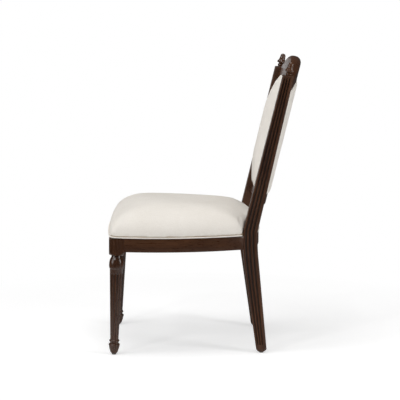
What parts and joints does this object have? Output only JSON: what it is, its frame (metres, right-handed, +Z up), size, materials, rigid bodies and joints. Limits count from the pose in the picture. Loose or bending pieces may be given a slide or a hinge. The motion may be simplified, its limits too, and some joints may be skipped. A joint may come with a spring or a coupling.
{
  "type": "side_chair",
  "caption": "Armless side chair with turned fluted front legs, bent fluted rear posts with finials, an arched back and a full cushion seat in pale linen.",
  "frame": {"origin": "The centre of the footprint box, on the floor under the chair.", "axes": "+X to the sitter's left, +Y to the rear, +Z up; the sitter faces -Y."},
  "size_m": [0.5486, 0.6768, 1.0181],
  "materials": {
    "wood": "dark brown satin lacquer, lightly rubbed on the edges",
    "inner_wood": "bare sanded wood",
    "steel": "zinc plated",
    "glide_steel": "pressed nickel plated",
    "dust_cloth": "black non-woven cloth",
    "foam": "open-cell foam",
    "linen": "plain woven off-white linen"
  },
  "bodies": {
    "root": {"rear_post_left": "wood", "rear_post_right": "wood", "front_leg_left": "wood", "front_leg_right": "wood", "finial_left": "wood", "finial_right": "wood", "side_rail_left": "wood", "side_rail_right": "wood", "front_rail": "wood", "rear_rail": "wood", "crest_rail": "wood", "lower_back_rail": "wood", "corner_block_front_left": "inner_wood", "corner_block_front_right": "inner_wood", "corner_block_rear_left": "inner_wood", "corner_block_rear_right": "inner_wood", "seat_deck": "inner_wood", "back_panel": "inner_wood", "seat_screws": "steel", "foot_glides": "glide_steel", "seat_dust_cover": "dust_cloth", "seat_foam": "foam", "back_foam": "foam", "outside_back_padding": "foam", "seat_cover": "linen", "seat_welt": "linen", "back_cover": "linen", "outside_back_cover": "linen"}
  },
  "joints": []
}
